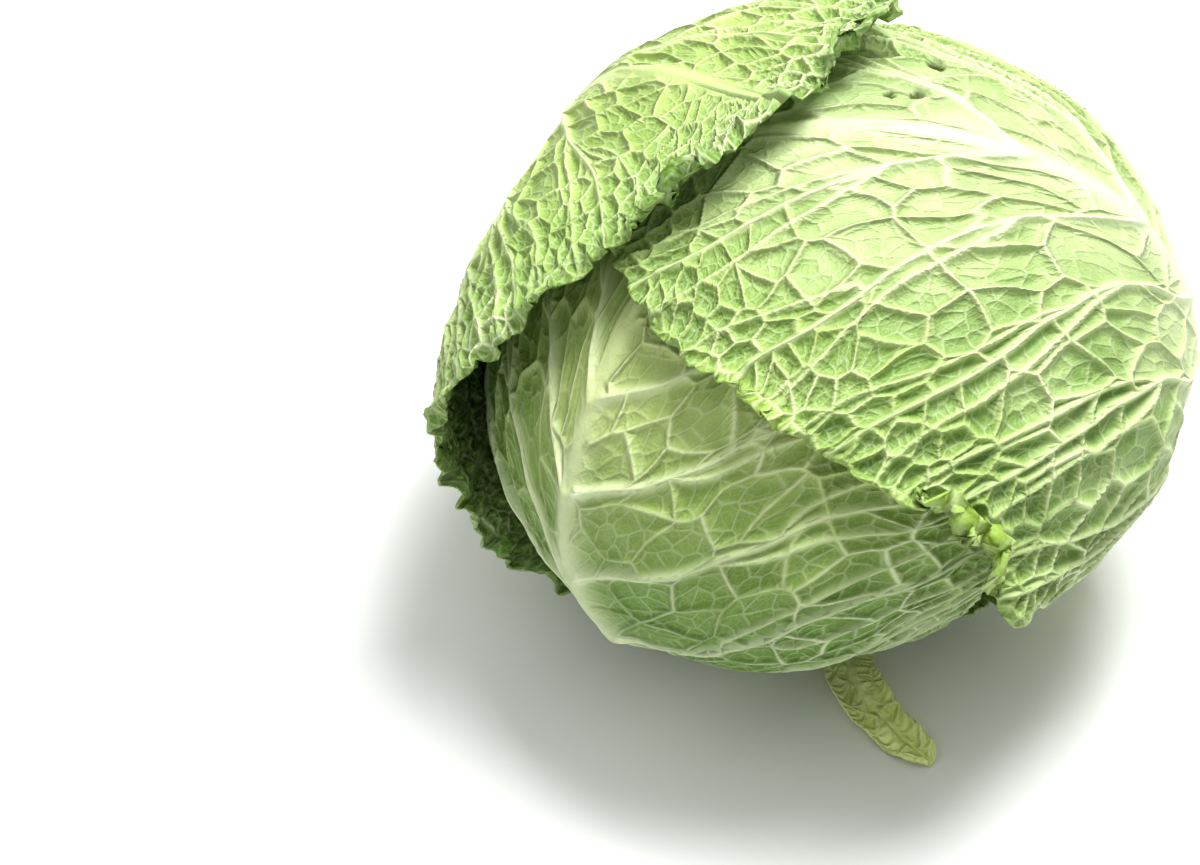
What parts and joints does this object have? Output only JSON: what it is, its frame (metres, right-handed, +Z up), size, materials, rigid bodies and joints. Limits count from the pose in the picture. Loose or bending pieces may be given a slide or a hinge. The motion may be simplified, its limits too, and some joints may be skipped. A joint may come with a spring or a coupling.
{
  "type": "savoy cabbage",
  "caption": "Whole savoy cabbage head with crinkled, net-veined wrapper leaves in overlapping layers round a dense heart, resting on its cut stalk.",
  "frame": {"origin": "centre of the head's bounding box, at the surface it rests on", "axes": "+Z up; the head leans 11 degrees towards -X on its cut stalk; the folded lower leaf lies towards -Y"},
  "size_m": [0.203, 0.2036, 0.1718],
  "materials": {
    "stalk": "pale cream-green cut stem, matt",
    "heart": "pale yellow-green inner leaves, waxy",
    "leaf_deep_green": "waxy crinkled leaf with pale raised veins",
    "leaf_green": "waxy crinkled leaf with pale raised veins",
    "leaf_pale_green": "waxy smoother leaf with pale raised veins",
    "leaf_stub": "yellow-green folded leaf"
  },
  "bodies": {
    "root": {"stalk": "stalk", "heart": "heart", "leaf_rear_left": "leaf_deep_green", "leaf_right": "leaf_green", "leaf_left": "leaf_pale_green", "leaf_rear_right": "leaf_green", "leaf_front": "leaf_pale_green", "leaf_inner_left": "leaf_pale_green", "leaf_lower_front": "leaf_stub"}
  },
  "joints": []
}
